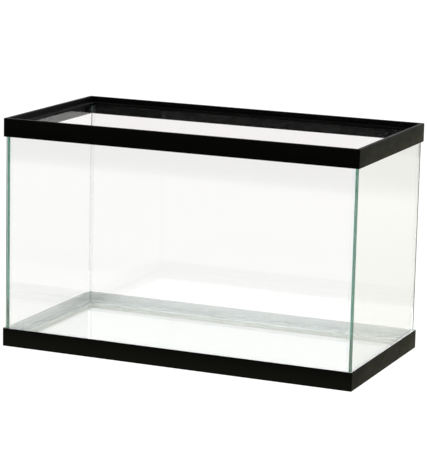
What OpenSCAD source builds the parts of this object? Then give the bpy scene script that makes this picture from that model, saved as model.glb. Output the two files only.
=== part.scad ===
// Framed glass aquarium tank, 10 US gallon size class, open top.
// Five float-glass panes, bonded and sealed with silicone, held in a moulded
// plastic rim at the top and a moulded plastic base frame at the bottom.
// Millimetres. +Z up, +X to the right, the front pane faces -Y.
// Origin: centre of the footprint, on the surface the tank stands on.

/* [Overall size] */
// Overall width over the frames, left to right
tank_w = 514.4; // [400:0.1:620]
// Overall depth over the frames, front to back
tank_d = 266.7; // [220:0.1:330]
// Overall height, from the floor to the top of the rim
tank_h = 319.1; // [200:0.1:450]

/* [Glass] */
// Thickness of the four wall panes
wall_t = 4; // [3:0.5:5]
// Thickness of the bottom pane
base_t = 4; // [3:0.5:6]
// Distance from the frames' outer face to the wall panes' outer face
glass_in = 3.2; // [1.8:0.1:3.4]
// Seamed (ground) edge on the vertical edges of the panes
seam = 0.4; // [0.2:0.1:0.6]

/* [Frames] */
// Height of the skirt of the top frame
rim_h = 25.4; // [20:0.1:30]
// Height of the skirt of the bottom frame
foot_h = 25.4; // [20:0.1:30]
// Wall thickness of the outer skirts
skirt_t = 1.4; // [1.2:0.1:1.5]
// Radius of the outer vertical corners of the frames
corner_r = 1.6; // [1:0.1:3]
// Width of the rim's flat top
rim_top_w = 5; // [4.6:0.1:5.4]
// Depth of the lid recess below the top of the rim
recess_h = 7.5; // [6:0.5:9]
// Distance from the outer face to the inner edge of the lid ledge
ledge_in = 14; // [13.5:0.5:16]
// Height of the ledge's turned-down lip, below the ledge's top face
lip_h = 3.5; // [3:0.5:5]
// Thickness of the moulded webs, ledges and ribs
web_t = 1.5; // [1.2:0.1:1.5]
// Thickness of the flat sole under the base frame
sole_t = 2; // [1.6:0.1:2.4]
// Height of the shelf that carries the bottom pane
shelf_z = 6.5; // [6:0.5:8]
// Width of the shelf, with the inner rib it grows from
shelf_w = 6; // [5:0.5:9]
// Spacing of the stiffening ribs under the shelf
rib_pitch = 56; // [40:1:80]

/* [Silicone] */
// Thickness of the structural silicone between a pane edge and a pane face
bond_t = 0.8; // [0.5:0.1:1]
// Leg length of the sealing fillets inside the tank
seal_leg = 5; // [3:0.5:5]
// Thickness of the adhesive under and over the wall panes' edges
bed_t = 1; // [0.6:0.1:1.2]
// Thickness of the adhesive between the shelf and the bottom pane
pad_t = 0.5; // [0.3:0.1:1]

/* [Hidden] */
$fn = 48;

hw = tank_w / 2;                      // half width
hd = tank_d / 2;                      // half depth
wall_in = glass_in + wall_t;          // outer face to the wall panes' inner face
pane_z0 = sole_t + bed_t;             // bottom edge of the wall panes
ledge_z = tank_h - recess_h;          // top face of the lid ledge
pane_z1 = ledge_z - web_t - bed_t;    // top edge of the wall panes
base_z0 = shelf_z + pad_t;            // underside of the bottom pane
base_z1 = base_z0 + base_t;           // top face of the bottom pane
side_in = wall_in + bond_t;           // outer face to the side panes' end edges, and to the bottom pane's edges
rib_in = side_in + 0.6;               // outer face to the inner rib of the base frame
shelf_in = rib_in + shelf_w;          // outer face to the shelf's inner edge
tab_in = wall_in + 0.2;               // outer face to the locating tabs of the top frame
arc_n = 8;                            // flats along a sealing fillet, an even number

glass_c = [0.80, 0.93, 0.89, 0.35];
frame_c = [0.03, 0.03, 0.03];
silicone_c = [0.86, 0.89, 0.88, 0.7];
adhesive_c = [0.72, 0.74, 0.75];

// ---- shared shapes -------------------------------------------------------

// rectangle inset by u from the outer face, with rounded corners of radius r
module outline(u, r = 0) {
  w = tank_w - 2 * u;
  d = tank_d - 2 * u;
  if (r > 0.05) {
    square([w - 2 * r, d], center = true);
    square([w, d - 2 * r], center = true);
    for (sx = [-1, 1], sy = [-1, 1])
      translate([sx * (w / 2 - r), sy * (d / 2 - r)]) circle(r = r);
  } else square([w, d], center = true);
}

// rectangular ring from inset u0 to inset u1, from z0 to z1
module ring(u0, u1, z0, z1, r = 0) {
  translate([0, 0, z0]) linear_extrude(height = z1 - z0)
    difference() { outline(u0, r); outline(u1); }
}

// upright pane lying along X, len long and t thick, with seamed vertical edges
module pane(len, t, z0, z1) {
  translate([0, 0, z0]) linear_extrude(height = z1 - z0)
    polygon([[-len / 2 + seam, -t / 2], [len / 2 - seam, -t / 2], [len / 2, -t / 2 + seam], [len / 2, t / 2 - seam],
             [len / 2 - seam, t / 2], [-len / 2 + seam, t / 2], [-len / 2, t / 2 - seam], [-len / 2, -t / 2 + seam]]);
}

// section of a concave sealing fillet in the first quadrant, corner at the origin
function arc_pt(leg, i) = let (a = 270 - 90 * i / arc_n) [leg * (1 + 0.92 * cos(a)), leg * (1 + 0.92 * sin(a))];
function fillet_pts(leg) = concat([[0, 0], [leg, 0]], [for (i = [1 : arc_n - 1]) arc_pt(leg, i)], [[0, leg]]);
module fillet2d(leg) { polygon(fillet_pts(leg)); }

// ---- glass ---------------------------------------------------------------

module front_glass() {
  color(glass_c) translate([0, -(hd - glass_in - wall_t / 2), 0])
    pane(tank_w - 2 * glass_in, wall_t, pane_z0, pane_z1);
}
module back_glass() {
  color(glass_c) translate([0, hd - glass_in - wall_t / 2, 0])
    pane(tank_w - 2 * glass_in, wall_t, pane_z0, pane_z1);
}
module side_glass(s) {
  color(glass_c) translate([s * (hw - glass_in - wall_t / 2), 0, 0]) rotate([0, 0, 90])
    pane(tank_d - 2 * side_in, wall_t, pane_z0, pane_z1);
}
module left_glass() { side_glass(-1); }
module right_glass() { side_glass(1); }
module bottom_glass() {
  color(glass_c) translate([0, 0, base_z0]) linear_extrude(height = base_t) outline(side_in);
}

// ---- frames --------------------------------------------------------------

// one stiffening rib under the shelf of the base frame, running inward
module rib(len) { translate([-0.6, 0, 1]) cube([1.2, len, shelf_z - web_t - 1 + 0.01]); }

module bottom_frame() {
  color(frame_c) {
    ring(0, skirt_t, 0, foot_h, corner_r);                     // outer skirt
    ring(skirt_t - 0.01, rib_in + web_t, 0, sole_t);           // flat sole
    ring(rib_in, rib_in + web_t, sole_t - 0.01, shelf_z);      // inner rib, inside the wall panes
    ring(rib_in + web_t - 0.01, shelf_in, shelf_z - web_t, shelf_z);   // shelf under the bottom pane
    ring(shelf_in - web_t, shelf_in, 1, shelf_z - web_t + 0.01);       // turned-down edge of the shelf
    nx = floor((tank_w / 2 - 30) / rib_pitch);
    ny = floor((tank_d / 2 - 30) / rib_pitch);
    l = shelf_in - web_t - rib_in - web_t + 0.02;
    for (sy = [-1, 1], i = [-nx : nx]) translate([i * rib_pitch, 0, 0])
      if (sy < 0) translate([0, -hd + rib_in + web_t - 0.01, 0]) rib(l);
      else rotate([0, 0, 180]) translate([0, -hd + rib_in + web_t - 0.01, 0]) rib(l);
    for (sx = [-1, 1], i = [-ny : ny]) translate([0, i * rib_pitch, 0])
      rotate([0, 0, sx * 90]) translate([0, -hw + rib_in + web_t - 0.01, 0]) rib(l);
  }
}

// one locating tab of the top frame, inside the wall panes
module tab(len) { translate([-len / 2, 0, ledge_z - 4.5]) cube([len, web_t, 4.5 - web_t + 0.01]); }

module top_frame() {
  color(frame_c) {
    ring(0, skirt_t, tank_h - rim_h, tank_h, corner_r);                          // outer skirt
    ring(skirt_t - 0.01, rim_top_w, tank_h - web_t, tank_h);                     // flat top of the rim
    ring(rim_top_w - web_t, rim_top_w, ledge_z - web_t, tank_h - web_t + 0.01);  // inner wall of the lid recess
    ring(rim_top_w - 0.01, ledge_in, ledge_z - web_t, ledge_z);                  // lid ledge
    ring(ledge_in - web_t, ledge_in, ledge_z - lip_h, ledge_z - web_t + 0.01);   // turned-down lip
    for (i = [-1.5 : 1 : 1.5], s = [0, 180]) rotate([0, 0, s]) translate([i * tank_w / 4.4, -hd + tab_in, 0]) tab(22);
    for (i = [-0.5 : 1 : 0.5], s = [90, -90]) rotate([0, 0, s]) translate([i * tank_d / 2.6, -hw + tab_in, 0]) tab(22);
  }
}

// ---- adhesive that beds the glass in the frames --------------------------

module top_frame_adhesive() { color(adhesive_c) ring(skirt_t, wall_in + 0.2, pane_z1, pane_z1 + bed_t); }

module bottom_frame_adhesive() {
  color(adhesive_c) {
    ring(skirt_t, rib_in, sole_t, pane_z0);                     // under the panes' edges
    ring(skirt_t, glass_in, pane_z0 - 0.01, foot_h - 0.4);      // between the skirt and the panes
    ring(wall_in, rib_in, pane_z0 - 0.01, base_z0);             // between the panes and the inner rib
    ring(rib_in - 0.01, shelf_in - 0.5, shelf_z, base_z0);      // between the shelf and the bottom pane
  }
}

// ---- structural silicone -------------------------------------------------

module corner_bond(sx, sy) {
  color(silicone_c)
    translate([sx * (hw - glass_in - wall_t / 2) - wall_t / 2, sy > 0 ? hd - side_in : -hd + wall_in, pane_z0])
      cube([wall_t, bond_t, pane_z1 - pane_z0]);
}
module corner_bond_front_left() { corner_bond(-1, -1); }
module corner_bond_front_right() { corner_bond(1, -1); }
module corner_bond_back_left() { corner_bond(-1, 1); }
module corner_bond_back_right() { corner_bond(1, 1); }

module base_bond_y(s) {
  w = tank_w - 2 * wall_in;
  color(silicone_c) translate([-w / 2, s > 0 ? hd - side_in : -hd + wall_in, base_z0]) cube([w, bond_t, base_t]);
}
module base_bond_x(s) {
  d = tank_d - 2 * side_in;
  color(silicone_c) translate([s > 0 ? hw - side_in : -hw + wall_in, -d / 2, base_z0]) cube([bond_t, d, base_t]);
}
module base_bond_front() { base_bond_y(-1); }
module base_bond_back() { base_bond_y(1); }
module base_bond_left() { base_bond_x(-1); }
module base_bond_right() { base_bond_x(1); }

// ---- sealing fillets -----------------------------------------------------

// fillet along the bottom of the front wall; its ends fit round the upright
// corner fillets and meet the next run on the 45 degree mitre
module base_run(hx, hy) {
  g = seal_leg;
  half = arc_n / 2;
  left = concat([[-hx + g, -hy - 1], [-hx + g, -hy]],
    [for (i = [1 : half]) [-hx + arc_pt(g, i)[0], -hy + arc_pt(g, i)[1]]], [[-hx + 2 * g, -hy + 2 * g]]);
  n = len(left);
  right = [for (i = [n - 1 : -1 : 0]) [-left[i][0], left[i][1]]];
  intersection() {
    translate([-hx, -hy, base_z1]) rotate([90, 0, 90]) linear_extrude(height = 2 * hx) fillet2d(g);
    translate([0, 0, base_z1 - 1]) linear_extrude(height = g + 2) polygon(concat(left, right));
  }
}
module base_seal_front() { color(silicone_c) base_run(hw - wall_in, hd - wall_in); }
module base_seal_back() { color(silicone_c) rotate([0, 0, 180]) base_run(hw - wall_in, hd - wall_in); }
module base_seal_right() { color(silicone_c) rotate([0, 0, 90]) base_run(hd - wall_in, hw - wall_in); }
module base_seal_left() { color(silicone_c) rotate([0, 0, -90]) base_run(hd - wall_in, hw - wall_in); }

// upright fillet in a corner, from the bottom pane to the top of the walls
module corner_seal(sx, sy) {
  color(silicone_c) translate([sx * (hw - wall_in), sy * (hd - wall_in), base_z1])
    rotate([0, 0, sx < 0 ? (sy < 0 ? 0 : -90) : (sy < 0 ? 90 : 180)])
      linear_extrude(height = pane_z1 - base_z1) fillet2d(seal_leg);
}
module corner_seal_front_left() { corner_seal(-1, -1); }
module corner_seal_front_right() { corner_seal(1, -1); }
module corner_seal_back_left() { corner_seal(-1, 1); }
module corner_seal_back_right() { corner_seal(1, 1); }

// ---- assembly ------------------------------------------------------------

front_glass();
back_glass();
left_glass();
right_glass();
bottom_glass();
top_frame();
bottom_frame();
top_frame_adhesive();
bottom_frame_adhesive();
corner_bond_front_left();
corner_bond_front_right();
corner_bond_back_left();
corner_bond_back_right();
base_bond_front();
base_bond_back();
base_bond_left();
base_bond_right();
corner_seal_front_left();
corner_seal_front_right();
corner_seal_back_left();
corner_seal_back_right();
base_seal_front();
base_seal_back();
base_seal_left();
base_seal_right();
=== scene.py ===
"""Framed glass aquarium tank: the looks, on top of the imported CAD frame.

Millimetre numbers below are distances u inward from the frames' outer face
and heights z above the surface the tank stands on, as in the CAD.
"""

import math

import bmesh
import bpy
from mathutils import Matrix, Vector, noise


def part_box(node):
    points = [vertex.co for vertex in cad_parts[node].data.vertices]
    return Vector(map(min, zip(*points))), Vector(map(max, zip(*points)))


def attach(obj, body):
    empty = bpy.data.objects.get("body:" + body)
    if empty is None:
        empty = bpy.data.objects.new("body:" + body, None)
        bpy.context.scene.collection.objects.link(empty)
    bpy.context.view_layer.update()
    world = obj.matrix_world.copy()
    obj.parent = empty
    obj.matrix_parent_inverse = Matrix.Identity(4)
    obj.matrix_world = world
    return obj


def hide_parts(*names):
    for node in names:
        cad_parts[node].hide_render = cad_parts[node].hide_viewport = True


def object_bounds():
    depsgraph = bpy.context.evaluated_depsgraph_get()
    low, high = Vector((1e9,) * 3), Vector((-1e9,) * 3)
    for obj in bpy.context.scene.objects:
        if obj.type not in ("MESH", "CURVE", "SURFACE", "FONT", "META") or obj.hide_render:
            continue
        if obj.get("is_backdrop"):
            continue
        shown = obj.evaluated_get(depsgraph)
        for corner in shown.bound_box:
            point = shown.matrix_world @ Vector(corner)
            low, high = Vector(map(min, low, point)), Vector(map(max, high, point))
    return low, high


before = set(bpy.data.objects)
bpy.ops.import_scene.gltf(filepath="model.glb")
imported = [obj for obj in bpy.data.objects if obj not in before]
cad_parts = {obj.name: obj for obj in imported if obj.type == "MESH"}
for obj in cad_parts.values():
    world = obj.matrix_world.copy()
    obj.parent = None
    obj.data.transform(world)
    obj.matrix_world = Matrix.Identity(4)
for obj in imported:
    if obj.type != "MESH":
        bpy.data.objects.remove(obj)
cad_lo, cad_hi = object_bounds()
cad_lo, cad_hi = Vector(cad_lo), Vector(cad_hi)
SIZE = cad_hi - cad_lo
W, D, H = SIZE.x * 1000, SIZE.y * 1000, SIZE.z * 1000      # mm

# ---- heights and insets read from the CAD nodes (mm) ------------------------


def mm(node):
    lo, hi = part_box(node)
    return Vector(lo) * 1000, Vector(hi) * 1000


front_lo, front_hi = mm("front_glass")
base_lo, base_hi = mm("bottom_glass")
side_lo, side_hi = mm("right_glass")
GLASS_IN = front_lo.y + D / 2            # outer face of the wall panes
WALL_IN = front_hi.y + D / 2             # inner face of the wall panes
SIDE_IN = D / 2 - side_hi.y              # ends of the side panes
PANE_Z0, PANE_Z1 = front_lo.z, front_hi.z
BASE_Z0, BASE_Z1 = base_lo.z, base_hi.z
SEAL = mm("corner_seal_front_left")[1].x - mm("corner_seal_front_left")[0].x
RIM_Z0 = mm("top_frame")[0].z
FOOT_Z1 = mm("bottom_frame")[1].z
LEDGE_Z = H - 7.5
TAB_Z0 = LEDGE_Z - 4.5

# ---- camera ------------------------------------------------------------------

az, el, roll = (math.radians(a) for a in (23.006, 11.228, 1.330))
back = Vector((math.sin(az) * math.cos(el), -math.cos(az) * math.cos(el), math.sin(el)))
right = Vector((math.cos(az), math.sin(az), 0))
up = right.cross(-back)
r2 = math.cos(roll) * right + math.sin(roll) * up
u2 = -math.sin(roll) * right + math.cos(roll) * up
dist = 3.0621
eye = Vector((0, 0, H / 2000)) + back * dist + r2 * 0.00025 * dist + u2 * 0.0019 * dist
cam_data = bpy.data.cameras.new("camera")
cam_data.sensor_fit = "AUTO"
cam_data.sensor_width = 36
cam_data.lens = 2210.5 * 36 / 461
cam_data.clip_start = 0.05
cam_data.clip_end = 50
cam = bpy.data.objects.new("camera", cam_data)
cam.matrix_world = Matrix((
    (r2.x, u2.x, back.x, eye.x),
    (r2.y, u2.y, back.y, eye.y),
    (r2.z, u2.z, back.z, eye.z),
    (0, 0, 0, 1)))
bpy.context.scene.collection.objects.link(cam)
bpy.context.scene.camera = cam

# ---- mesh helpers ------------------------------------------------------------


def new_object(name, verts, faces, sharp=30):
    """verts in mm"""
    me = bpy.data.meshes.new(name)
    me.from_pydata([(x / 1000, y / 1000, z / 1000) for x, y, z in verts], [], faces)
    me.validate()
    bm = bmesh.new()
    bm.from_mesh(me)
    bmesh.ops.recalc_face_normals(bm, faces=bm.faces)
    bm.to_mesh(me)
    bm.free()
    for p in me.polygons:
        p.use_smooth = True
    me.set_sharp_from_angle(angle=math.radians(sharp))
    ob = bpy.data.objects.new(name, me)
    bpy.context.scene.collection.objects.link(ob)
    return ob


def round_poly(pts, radii, n=3):
    """polygon with each corner rounded by its own radius"""
    out = []
    count = len(pts)
    for i, p in enumerate(pts):
        r = radii[i]
        p = Vector(p)
        if r <= 0:
            out.append((p.x, p.y))
            continue
        a = (Vector(pts[i - 1]) - p)
        b = (Vector(pts[(i + 1) % count]) - p)
        r = min(r, a.length * 0.49, b.length * 0.49)
        a.normalize()
        b.normalize()
        half = a.angle(b) / 2
        t = min(r / math.tan(half), 1e9)
        centre = p + (a + b).normalized() * (r / math.sin(half))
        s, e = p + a * t - centre, p + b * t - centre
        turn = s.angle_signed(e)
        for k in range(n + 1):
            q = -turn * k / n
            out.append((centre.x + s.x * math.cos(q) - s.y * math.sin(q),
                        centre.y + s.x * math.sin(q) + s.y * math.cos(q)))
    return out


def loop(u, r, seg, along=(), wobble=None, z=0.0):
    """points round the tank at inset u, corners rounded by r"""
    hx, hy = W / 2 - u, D / 2 - u
    pts = []
    corners = [(hx, hy, 0), (-hx, hy, 90), (-hx, -hy, 180), (hx, -hy, 270)]
    for i, (cx, cy, start) in enumerate(corners):
        ox, oy = cx - math.copysign(r, cx), cy - math.copysign(r, cy)
        for k in range(seg + 1):
            a = math.radians(start + 90 * k / seg)
            pts.append((ox + r * math.cos(a), oy + r * math.sin(a), z))
        nx, ny, nstart = corners[(i + 1) % 4]
        ex, ey = nx - math.copysign(r, nx), ny - math.copysign(r, ny)
        a = math.radians(nstart)
        ex, ey = ex + r * math.cos(a), ey + r * math.sin(a)
        sx, sy = pts[-1][0], pts[-1][1]
        for t in along:
            pts.append((sx + (ex - sx) * t, sy + (ey - sy) * t, z))
    if wobble:
        pts = [(x, y, z + wobble(x, y)) for x, y, z in pts]
    return pts


def ring_sweep(name, profile, corner, seg=6, along=(), wobble=None, sharp=30):
    """closed section profile of (u, z) swept round the tank.

    corner(u) is the vertical corner radius at inset u; wobble(u, z) gives a
    function of x, y that lifts a point, or None.
    """
    verts, faces = [], []
    for u, z in profile:
        verts += loop(u, corner(u), seg, along, wobble(u, z) if wobble else None, z)
    n = len(verts) // len(profile)
    m = len(profile)
    for j in range(m):
        for i in range(n):
            a, b = j * n + i, j * n + (i + 1) % n
            c, d = ((j + 1) % m) * n + (i + 1) % n, ((j + 1) % m) * n + i
            faces.append((a, b, c, d))
    return new_object(name, verts, faces, sharp)


def soft_box(x0, y0, z0, x1, y1, z1, b):
    """vertices and faces of a box whose twelve edges have a bevel b (mm)"""
    bm = bmesh.new()
    bmesh.ops.create_cube(bm, size=1)
    for v in bm.verts:
        v.co = Vector(((x0 + x1) / 2 + v.co.x * (x1 - x0), (y0 + y1) / 2 + v.co.y * (y1 - y0),
                       (z0 + z1) / 2 + v.co.z * (z1 - z0)))
    if b > 0:
        bmesh.ops.bevel(bm, geom=list(bm.edges), offset=b, segments=2, profile=0.5, affect="EDGES")
    bm.verts.index_update()
    verts = [tuple(v.co) for v in bm.verts]
    faces = [tuple(v.index for v in f.verts) for f in bm.faces]
    bm.free()
    return verts, faces


def box_object(name, boxes, b, sharp=30):
    verts, faces = [], []
    for box in boxes:
        v, f = soft_box(*box, b)
        off = len(verts)
        verts += v
        faces += [tuple(i + off for i in face) for face in f]
    return new_object(name, verts, faces, sharp)


def join(ob, other):
    """append another object's mesh to ob and delete the other"""
    bm = bmesh.new()
    bm.from_mesh(ob.data)
    bm.from_mesh(other.data)
    bm.to_mesh(ob.data)
    bm.free()
    ob.data.set_sharp_from_angle(angle=math.radians(30))
    bpy.data.objects.remove(other, do_unlink=True)


def wave(seed, amp, length):
    """smooth seeded unevenness along a line, in mm"""
    def f(s):
        return amp * (noise.noise(Vector((s / length, seed * 7.31, 0.5)))
                      + 0.45 * noise.noise(Vector((s / length * 2.7, seed * 3.17, 4.2))))
    return f


# ---- materials ---------------------------------------------------------------


class Nodes:
    def __init__(self, name):
        self.mat = bpy.data.materials.new(name)
        self.mat.use_nodes = True
        self.tree = self.mat.node_tree
        self.tree.nodes.clear()
        self.out = self.add("ShaderNodeOutputMaterial")
        self.bsdf = self.add("ShaderNodeBsdfPrincipled")
        self.link(self.bsdf, "BSDF", self.out, "Surface")

    def add(self, kind, **values):
        n = self.tree.nodes.new(kind)
        for k, v in values.items():
            if hasattr(n, k) and k not in n.inputs:
                setattr(n, k, v)
            else:
                n.inputs[k].default_value = v
        return n

    def link(self, a, out, b, inp):
        self.tree.links.new(a.outputs[out], b.inputs[inp])

    def coords(self, scale=(1, 1, 1)):
        tc = self.add("ShaderNodeTexCoord")
        mp = self.add("ShaderNodeMapping")
        mp.inputs["Scale"].default_value = scale
        self.link(tc, "Object", mp, "Vector")
        return mp

    def noise(self, scale, detail=3, rough=0.5, stretch=(1, 1, 1), distortion=0.0):
        mp = self.coords(stretch)
        n = self.add("ShaderNodeTexNoise")
        n.inputs["Scale"].default_value = scale
        n.inputs["Detail"].default_value = detail
        n.inputs["Roughness"].default_value = rough
        n.inputs["Distortion"].default_value = distortion
        self.link(mp, "Vector", n, "Vector")
        return n

    def ramp(self, src, stops, out="Fac"):
        r = self.add("ShaderNodeValToRGB")
        self.link(src, out, r, "Fac")
        els = r.color_ramp.elements
        while len(els) < len(stops):
            els.new(0.5)
        for e, (p, c) in zip(els, stops):
            e.position = p
            e.color = (*c, 1) if isinstance(c, tuple) else (c, c, c, 1)
        return r

    def bump(self, height, out, strength, distance, chain=None):
        b = self.add("ShaderNodeBump")
        b.inputs["Strength"].default_value = strength
        b.inputs["Distance"].default_value = distance
        self.link(height, out, b, "Height")
        if chain:
            self.link(chain, "Normal", b, "Normal")
        return b

    def set(self, **kw):
        for k, v in kw.items():
            self.bsdf.inputs[k.replace("_", " ")].default_value = v


def glass_material():
    n = Nodes("float_glass")
    n.set(Base_Color=(1, 1, 1, 1), Roughness=0.0, IOR=1.52)
    n.bsdf.inputs["Transmission Weight"].default_value = 1.0
    # faint draw waves of float glass
    w = n.noise(6, 1, 0.4, (1, 1, 3))
    b = n.bump(w, "Fac", 0.012, 0.002)
    n.link(b, "Normal", n.bsdf, "Normal")
    v = n.add("ShaderNodeVolumeAbsorption")
    v.inputs["Color"].default_value = (0.05, 0.50, 0.38, 1)
    v.inputs["Density"].default_value = 9.0
    n.link(v, "Volume", n.out, "Volume")
    return n.mat


def edge_material(name, dark, light, alpha):
    """seamed pane edge: lightly ground and wet by the silicone; the colours and alpha passed in paint how lit or
    shaded the edge shows
    """
    n = Nodes(name)
    grind = n.noise(900, 3, 0.6, (1, 1, 0.3))
    col = n.ramp(grind, [(0.3, dark), (0.7, light)])
    n.link(col, "Color", n.bsdf, "Base Color")
    n.set(Roughness=0.5, IOR=1.5, Alpha=alpha)
    n.bsdf.inputs["Specular IOR Level"].default_value = 0.03
    b = n.bump(grind, "Fac", 0.3, 0.0002)
    n.link(b, "Normal", n.bsdf, "Normal")
    return n.mat


def plastic_material(name, grain=1.0):
    n = Nodes(name)
    fine = n.noise(2600, 3, 0.55)
    broad = n.noise(38, 3, 0.6, (1, 1, 2.5))
    col = n.ramp(broad, [(0.30, (0.0011, 0.0011, 0.0011)), (0.72, (0.0022, 0.0022, 0.0021))])
    n.link(col, "Color", n.bsdf, "Base Color")
    rough = n.add("ShaderNodeMapRange")
    rough.inputs["From Min"].default_value = 0.3
    rough.inputs["From Max"].default_value = 0.7
    rough.inputs["To Min"].default_value = 0.36
    rough.inputs["To Max"].default_value = 0.47
    n.link(broad, "Fac", rough, "Value")
    n.link(rough, "Result", n.bsdf, "Roughness")
    n.set(IOR=1.5)
    n.bsdf.inputs["Specular IOR Level"].default_value = 0.055
    b1 = n.bump(fine, "Fac", 0.22 * grain, 0.00012)
    sink = n.noise(11, 2, 0.5, (1, 1, 0.4))
    b2 = n.bump(sink, "Fac", 0.05, 0.002, b1)
    n.link(b2, "Normal", n.bsdf, "Normal")
    return n.mat


def silicone_material(name, alpha, tone, stretch):
    """clear cured silicone: slightly milky, glossy, with drag marks and small bubbles; alpha and tone set how white
    it shows, and the bottom runs' whiter, more opaque copies are partly painted highlight
    """
    n = Nodes(name)
    drag = n.noise(60, 3, 0.55, stretch, 0.4)
    col = n.ramp(drag, [(0.3, tuple(c * 0.9 for c in tone)), (0.7, tone)])
    n.link(col, "Color", n.bsdf, "Base Color")
    n.set(Roughness=0.16, IOR=1.41, Alpha=alpha)
    n.bsdf.inputs["Specular IOR Level"].default_value = 0.55
    bubbles = n.add("ShaderNodeTexVoronoi")
    bubbles.inputs["Scale"].default_value = 420
    mp = n.coords((1, 1, 1))
    n.link(mp, "Vector", bubbles, "Vector")
    pit = n.ramp(bubbles, [(0.0, 0.0), (0.16, 1.0)], "Distance")
    b1 = n.bump(drag, "Fac", 0.35, 0.0008)
    b2 = n.bump(pit, "Color", 0.25, 0.0002, b1)
    n.link(b2, "Normal", n.bsdf, "Normal")
    return n.mat


def adhesive_material():
    """light grey bedding silicone, smeared against the glass"""
    n = Nodes("bedding_silicone")
    smear = n.noise(26, 4, 0.6, (0.35, 0.35, 3.2), 0.6)
    col = n.ramp(smear, [(0.32, (0.875, 0.85, 0.86)), (0.5, (0.93, 0.905, 0.915)), (0.70, (0.98, 0.955, 0.965))])
    n.link(col, "Color", n.bsdf, "Base Color")
    n.set(Roughness=0.42, IOR=1.41)
    b1 = n.bump(smear, "Fac", 0.3, 0.0006)
    n.link(b1, "Normal", n.bsdf, "Normal")
    return n.mat


GLASS = glass_material()
# the front pane's two ends are one seamed edge: a deep green copy as painted shade and a paler, clearer copy as
# painted light
EDGE_SHADED_GREEN = edge_material("seamed_glass_edge_green_painted_shade", (0.014, 0.100, 0.070), (0.032, 0.155, 0.110), 0.92)
EDGE_LIT_PALE = edge_material("seamed_glass_edge_pale_painted_light", (0.30, 0.36, 0.31), (0.38, 0.45, 0.39), 0.48)
PLASTIC = plastic_material("frame_black_plastic")
SIL_V = silicone_material("clear_silicone_upright", 0.045, (0.60, 0.72, 0.70), (3, 3, 0.5))
# bottom runs: the same clear silicone as the uprights, but whiter and far more opaque, partly painted highlight for
# the light streaks along the bottom fillets
SIL_X_PAINTED_HIGHLIGHT = silicone_material("milky_silicone_long_painted_highlight", 0.30, (0.97, 0.98, 0.98), (0.5, 3, 3))
SIL_Y_PAINTED_HIGHLIGHT = silicone_material("milky_silicone_across_painted_highlight", 0.30, (0.97, 0.98, 0.98), (3, 0.5, 3))
SIL_BOND = silicone_material("clear_silicone_bond", 0.04, (0.42, 0.52, 0.50), (3, 3, 0.5))
GREY = adhesive_material()

# ---- frames ------------------------------------------------------------------


def frame_corner(u):
    """vertical corner radius at inset u: small outside, near sharp inside"""
    if u < 1.3:
        return max(1.55 - u * 0.9, 0.35)
    return 0.35 if u < 3 else 0.9


sections = [0.2, 0.4, 0.6, 0.8]
top_pts = [(0, RIM_Z0), (0, H), (5, H), (5, LEDGE_Z), (14, LEDGE_Z), (14, LEDGE_Z - 3.5), (12.5, LEDGE_Z - 3.5),
           (12.5, LEDGE_Z - 1.5), (3.5, LEDGE_Z - 1.5), (3.5, H - 1.5), (1.4, H - 1.5), (1.4, RIM_Z0)]
top_r = [0.35, 0.55, 0.5, 0.5, 0.6, 0.4, 0.4, 0.3, 0.3, 0.3, 0.3, 0.35]
top_frame = ring_sweep("top_frame_moulding", round_poly(top_pts, top_r), frame_corner, along=sections)

tab_u = WALL_IN + 0.2
tabs = []
for i in (-1.5, -0.5, 0.5, 1.5):
    x = i * W / 4.4
    tabs.append((x - 11, -D / 2 + tab_u, TAB_Z0, x + 11, -D / 2 + tab_u + 1.5, LEDGE_Z - 1.4))
    tabs.append((x - 11, D / 2 - tab_u - 1.5, TAB_Z0, x + 11, D / 2 - tab_u, LEDGE_Z - 1.4))
for i in (-0.5, 0.5):
    y = i * D / 2.6
    tabs.append((-W / 2 + tab_u, y - 11, TAB_Z0, -W / 2 + tab_u + 1.5, y + 11, LEDGE_Z - 1.4))
    tabs.append((W / 2 - tab_u - 1.5, y - 11, TAB_Z0, W / 2 - tab_u, y + 11, LEDGE_Z - 1.4))
join(top_frame, box_object("tabs", tabs, 0.3))

RIB_IN = SIDE_IN + 0.6
SHELF_IN = RIB_IN + 6
SHELF_Z = BASE_Z0 - 0.5
foot_pts = [(0, 0), (0, FOOT_Z1), (1.4, FOOT_Z1), (1.4, 2), (RIB_IN, 2), (RIB_IN, SHELF_Z), (SHELF_IN, SHELF_Z), (SHELF_IN, 1),
            (SHELF_IN - 1.5, 1), (SHELF_IN - 1.5, SHELF_Z - 1.5), (RIB_IN + 1.5, SHELF_Z - 1.5), (RIB_IN + 1.5, 0)]
foot_r = [0.5, 0.45, 0.35, 0.3, 0.3, 0.3, 0.5, 0.4, 0.4, 0.3, 0.3, 0.4]
bottom_frame = ring_sweep("bottom_frame_moulding", round_poly(foot_pts, foot_r), frame_corner, along=sections)
ribs = []
a, b = RIB_IN + 1.4, SHELF_IN - 1.4
for i in range(-4, 5):
    x = i * 56
    ribs.append((x - 0.6, -D / 2 + a, 1, x + 0.6, -D / 2 + b, SHELF_Z - 1.4))
    ribs.append((x - 0.6, D / 2 - b, 1, x + 0.6, D / 2 - a, SHELF_Z - 1.4))
for i in range(-1, 2):
    y = i * 56
    ribs.append((-W / 2 + a, y - 0.6, 1, -W / 2 + b, y + 0.6, SHELF_Z - 1.4))
    ribs.append((W / 2 - b, y - 0.6, 1, W / 2 - a, y + 0.6, SHELF_Z - 1.4))
join(bottom_frame, box_object("ribs", ribs, 0.2))

for ob, node in ((top_frame, "top_frame"), (bottom_frame, "bottom_frame")):
    ob.data.materials.append(PLASTIC)
    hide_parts(node)
    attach(ob, "root")

# ---- glass -------------------------------------------------------------------

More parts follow.
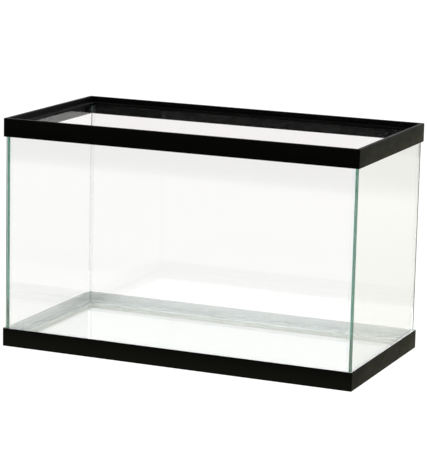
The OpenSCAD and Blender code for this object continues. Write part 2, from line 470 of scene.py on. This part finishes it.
gap = 0.03
for name in ("front_glass", "back_glass", "left_glass", "right_glass", "bottom_glass"):
    lo, hi = mm(name)
    g = box_object(name.replace("_glass", "_pane"),
                   [(lo.x + gap, lo.y + gap, lo.z + gap, hi.x - gap, hi.y - gap, hi.z - gap)], 0.35, 20)
    g.data.materials.append(GLASS)
    if name == "front_glass":
        # its two ends are the pane edges in plain view, one seamed edge painted as two copies: deep green and nearly
        # opaque on the left as painted shade, paler and half clear on the right as painted light
        g.data.materials.append(EDGE_SHADED_GREEN)
        g.data.materials.append(EDGE_LIT_PALE)
        for poly in g.data.polygons:
            poly.material_index = (1 if poly.normal.x < -0.9 else 2) if abs(poly.normal.x) > 0.9 else 0
    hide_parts(name)
    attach(g, "root")

# ---- bedding adhesive --------------------------------------------------------

edge = wave(3, 0.07, 24)


def bed_wobble(u, z):
    if z > 20:
        return lambda x, y: edge(x + 1.7 * y)
    return None


bed = [(1.43, 2.03), (1.43, FOOT_Z1 - 0.2), (GLASS_IN - 0.05, FOOT_Z1 - 0.2), (GLASS_IN - 0.05, PANE_Z0 - 0.04),
       (WALL_IN + 0.05, PANE_Z0 - 0.04), (WALL_IN + 0.05, BASE_Z0 - 0.04), (SHELF_IN + 0.3, BASE_Z0 - 0.04),
       (SHELF_IN + 0.3, 1.7), (SHELF_IN + 0.05, 1.7), (SHELF_IN + 0.05, SHELF_Z + 0.04), (RIB_IN - 0.04, SHELF_Z + 0.04), (RIB_IN - 0.04, 2.03)]
fine = [k / 60 for k in range(1, 60)]
bedding = ring_sweep("bottom_frame_bedding", bed, lambda u: 0.3, seg=2, along=fine, wobble=bed_wobble)
bedding.data.materials.append(GREY)
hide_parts("bottom_frame_adhesive")
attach(bedding, "root")

top_bed = [(1.45, PANE_Z1 + 0.03), (1.45, PANE_Z1 + 0.95), (WALL_IN + 0.15, PANE_Z1 + 0.95), (WALL_IN + 0.15, PANE_Z1 + 0.03)]
bead = ring_sweep("top_frame_bead", round_poly(top_bed, [0.3] * 4), lambda u: 0.3, seg=2, along=fine)
bead.data.materials.append(GREY)
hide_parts("top_frame_adhesive")
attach(bead, "root")

# ---- structural silicone -----------------------------------------------------

for s in ("front_left", "front_right", "back_left", "back_right"):
    lo, hi = mm("corner_bond_" + s)
    o = box_object("upright_bond_" + s, [(lo.x + 0.3, lo.y + 0.06, lo.z + 0.1, hi.x - 0.3, hi.y - 0.06, hi.z - 0.1)], 0.12)
    o.data.materials.append(SIL_BOND)
    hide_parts("corner_bond_" + s)
    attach(o, "root")
for s in ("front", "back", "left", "right"):
    lo, hi = mm("base_bond_" + s)
    o = box_object("edge_bond_" + s, [(lo.x + 0.06, lo.y + 0.06, lo.z + 0.1, hi.x - 0.06, hi.y - 0.06, hi.z - 0.1)], 0.12)
    o.data.materials.append(SIL_BOND)
    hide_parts("base_bond_" + s)
    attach(o, "root")

# ---- sealing fillets ---------------------------------------------------------

ARC = 8


def arc(leg, i, k=0.92):
    a = math.radians(270 - 90 * i / ARC)
    return leg * (1 + k * math.cos(a)), leg * (1 + k * math.sin(a))


def fillet(leg_a, leg_b, k=0.92):
    """section points (a along one wall, b along the other), corner first"""
    pts = [(0.0, 0.0), (leg_a, 0.0)]
    for i in range(1, ARC):
        x, y = arc(1.0, i, k)
        pts.append((x * leg_a, y * leg_b))
    pts.append((0.0, leg_b))
    return pts


off = 0.05
for i, (s, sx, sy) in enumerate((("front_left", -1, -1), ("front_right", 1, -1), ("back_left", -1, 1), ("back_right", 1, 1))):
    la, lb, kk = wave(11 + i, 0.75, 21), wave(17 + i, 0.75, 17), wave(29 + i, 0.03, 13)
    verts, faces = [], []
    z0, z1, rows = BASE_Z1 + 0.05, PANE_Z1 - 0.1, 150
    for r in range(rows + 1):
        z = z0 + (z1 - z0) * r / rows
        a = min(SEAL - off, SEAL * 0.86 + la(z))
        b = min(SEAL - off, SEAL * 0.86 + lb(z))
        for p, q in fillet(a, b, 0.92 + min(0.0, kk(z))):
            verts.append((sx * (W / 2 - WALL_IN - off - p), sy * (D / 2 - WALL_IN - off - q), z))
    m = len(verts) // (rows + 1)
    for r in range(rows):
        for j in range(m):
            a, b = r * m + j, r * m + (j + 1) % m
            faces.append((a, b, b + m, a + m))
    faces.append(tuple(range(m)))
    faces.append(tuple(rows * m + j for j in range(m)))
    o = new_object("upright_seal_" + s, verts, faces, 50)
    o.data.materials.append(SIL_V)
    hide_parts("corner_seal_" + s)
    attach(o, "root")

for i, s in enumerate(("front", "back", "left", "right")):
    along_x = s in ("front", "back")
    hx = (W if along_x else D) / 2 - WALL_IN
    hy = (D if along_x else W) / 2 - WALL_IN
    la, lb = wave(41 + i, 0.7, 19), wave(47 + i, 0.7, 23)
    rows = 220 if along_x else 120
    verts, faces = [], []
    for r in range(rows + 1):
        t = -1 + 2 * r / rows
        a = min(SEAL - off, SEAL * 0.86 + la(t * hx))
        b = min(SEAL - off, SEAL * 0.86 + lb(t * hx))
        for p, q in fillet(a, b):
            # the run ends round the upright fillet and on the mitre
            y = p + off
            reach = SEAL * 0.08
            for j in range(1, ARC):
                x0, y0 = arc(SEAL, j)
                x1, y1 = arc(SEAL, j + 1) if j + 1 <= ARC else (0, SEAL)
                if y0 <= y <= y1:
                    reach = x0 + (x1 - x0) * (y - y0) / max(y1 - y0, 1e-6)
            if y < arc(SEAL, 1)[1]:
                x1, y1 = arc(SEAL, 1)
                reach = SEAL + (x1 - SEAL) * y / y1
            end = max(reach, y) + 0.05
            x = t * (hx - end)
            y = -hy + y
            if s == "front":
                v = (x, y)
            elif s == "back":
                v = (-x, -y)
            elif s == "right":
                v = (-y, x)
            else:
                v = (y, -x)
            verts.append((v[0], v[1], BASE_Z1 + off + q))
    m = len(verts) // (rows + 1)
    for r in range(rows):
        for j in range(m):
            a, b = r * m + j, r * m + (j + 1) % m
            faces.append((a, b, b + m, a + m))
    faces.append(tuple(range(m)))
    faces.append(tuple(rows * m + j for j in range(m)))
    o = new_object("base_seal_run_" + s, verts, faces, 50)
    # the bottom runs take the whitened copies, partly painted highlight
    o.data.materials.append(SIL_X_PAINTED_HIGHLIGHT if along_x else SIL_Y_PAINTED_HIGHLIGHT)
    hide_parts("base_seal_" + s)
    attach(o, "root")

# ---- floor, world and lights -------------------------------------------------

scene = bpy.context.scene
scene.view_settings.view_transform = "Standard"
scene.view_settings.look = "None"
scene.cycles.max_bounces = 96
scene.cycles.transmission_bounces = 96
scene.cycles.glossy_bounces = 96
scene.cycles.diffuse_bounces = 4
scene.cycles.transparent_max_bounces = 48

BRIGHT = 1.09       # the white sweep as the camera sees it directly


def sweep_nodes(tree, surface_socket, shader, through, reflected):
    """white to the camera, one tone through glass and one for reflections and fill"""
    lp = tree.nodes.new("ShaderNodeLightPath")
    m1 = tree.nodes.new("ShaderNodeMix")
    m1.data_type = "RGBA"
    tree.links.new(lp.outputs["Is Transmission Ray"], m1.inputs[0])
    tree.links.new(reflected, m1.inputs[6])
    tree.links.new(through, m1.inputs[7])
    m2 = tree.nodes.new("ShaderNodeMix")
    m2.data_type = "RGBA"
    tree.links.new(lp.outputs["Is Camera Ray"], m2.inputs[0])
    tree.links.new(m1.outputs[2], m2.inputs[6])
    m2.inputs[7].default_value = (BRIGHT, BRIGHT, BRIGHT, 1)
    tree.links.new(m2.outputs[2], shader.inputs["Color"])
    tree.links.new(shader.outputs[0], surface_socket)


def tone(tree, vector, lo, hi, stops, tint=(1, 1, 1), gain=1.0):
    """a light level that changes with Y, from the front of the room to the back"""
    sep = tree.nodes.new("ShaderNodeSeparateXYZ")
    tree.links.new(vector, sep.inputs[0])
    rng = tree.nodes.new("ShaderNodeMapRange")
    rng.inputs["From Min"].default_value = lo
    rng.inputs["From Max"].default_value = hi
    tree.links.new(sep.outputs["Y"], rng.inputs["Value"])
    ramp = tree.nodes.new("ShaderNodeValToRGB")
    tree.links.new(rng.outputs["Result"], ramp.inputs["Fac"])
    els = ramp.color_ramp.elements
    while len(els) < len(stops):
        els.new(0.5)
    for e, (y, c) in zip(els, stops):
        e.position = (y - lo) / (hi - lo)
        e.color = (c / 1.25 * tint[0], c / 1.25 * tint[1], c / 1.25 * tint[2], 1)
    sc = tree.nodes.new("ShaderNodeVectorMath")
    sc.operation = "SCALE"
    sc.inputs["Scale"].default_value = 1.25 * gain
    tree.links.new(ramp.outputs["Color"], sc.inputs[0])
    return sc.outputs["Vector"]


WARM = (1.036, 0.997, 0.992)
world = bpy.data.worlds.new("studio")
world.use_nodes = True
scene.world = world
wt = world.node_tree
wt.nodes.clear()
wo = wt.nodes.new("ShaderNodeOutputWorld")
bg = wt.nodes.new("ShaderNodeBackground")
tc = wt.nodes.new("ShaderNodeTexCoord")
sweep_nodes(wt, wo.inputs["Surface"], bg,
            tone(wt, tc.outputs["Generated"], -1, 1, [(-0.9, 1.25), (0.25, 1.25), (0.55, 0.32)], gain=2.9),
            tone(wt, tc.outputs["Generated"], -1, 1, [(-0.9, 0.30), (-0.2, 0.55), (0.3, 0.85)]))

floor_me = bpy.data.meshes.new("floor")
floor_me.from_pydata([(-9, -9, -0.0004), (9, -9, -0.0004), (9, 9, -0.0004), (-9, 9, -0.0004)], [], [(0, 1, 2, 3)])
floor = bpy.data.objects.new("floor", floor_me)
scene.collection.objects.link(floor)
fm = bpy.data.materials.new("white_sweep")
fm.use_nodes = True
ft = fm.node_tree
ft.nodes.clear()
fo = ft.nodes.new("ShaderNodeOutputMaterial")
em = ft.nodes.new("ShaderNodeEmission")
geo = ft.nodes.new("ShaderNodeNewGeometry")
sweep_nodes(ft, fo.inputs["Surface"], em,
            tone(ft, geo.outputs["Position"], -2.5, 2.5,
                 [(-2.05, 0.80), (-1.97, 0.05), (-1.53, 0.05), (-1.46, 0.85), (-0.13, 1.00), (0.14, 1.00), (0.20, 1.045), (1.2, 1.06),
                  (1.35, 0.98), (1.5, 0.975)], WARM),
            tone(ft, geo.outputs["Position"], -2.5, 2.5,
                 [(-2.3, 0.8), (-1.9, 0.04), (-0.60, 0.09), (-0.30, 0.80), (-0.14, 1.15), (-0.11, 0.58), (0.5, 0.64),
                  (1.2, 0.82), (1.5, 0.58)],
                 (1.0, 1.0, 0.74)))
floor_me.materials.append(fm)
floor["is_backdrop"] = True


def area(name, loc, target, size, power, colour=(1, 1, 1)):
    d = bpy.data.lights.new(name, "AREA")
    d.shape = "RECTANGLE"
    d.size, d.size_y = size
    d.energy = power
    d.color = colour
    o = bpy.data.objects.new(name, d)
    o.location = loc
    o.rotation_euler = (Vector(target) - Vector(loc)).to_track_quat("-Z", "Y").to_euler()
    o.visible_camera = False
    scene.collection.objects.link(o)
    return o


area("key_right", (1.9, 0.25, 0.9), (0.2, 0, 0.15), (1.2, 1.0), 3.2, (1, 1, 0.72))
area("top_soft", (-0.2, 0.3, 2.2), (0, 0, 0.2), (1.6, 1.2), 12)

# ---- bounds of the shown pieces ----------------------------------------------

lo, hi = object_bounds()
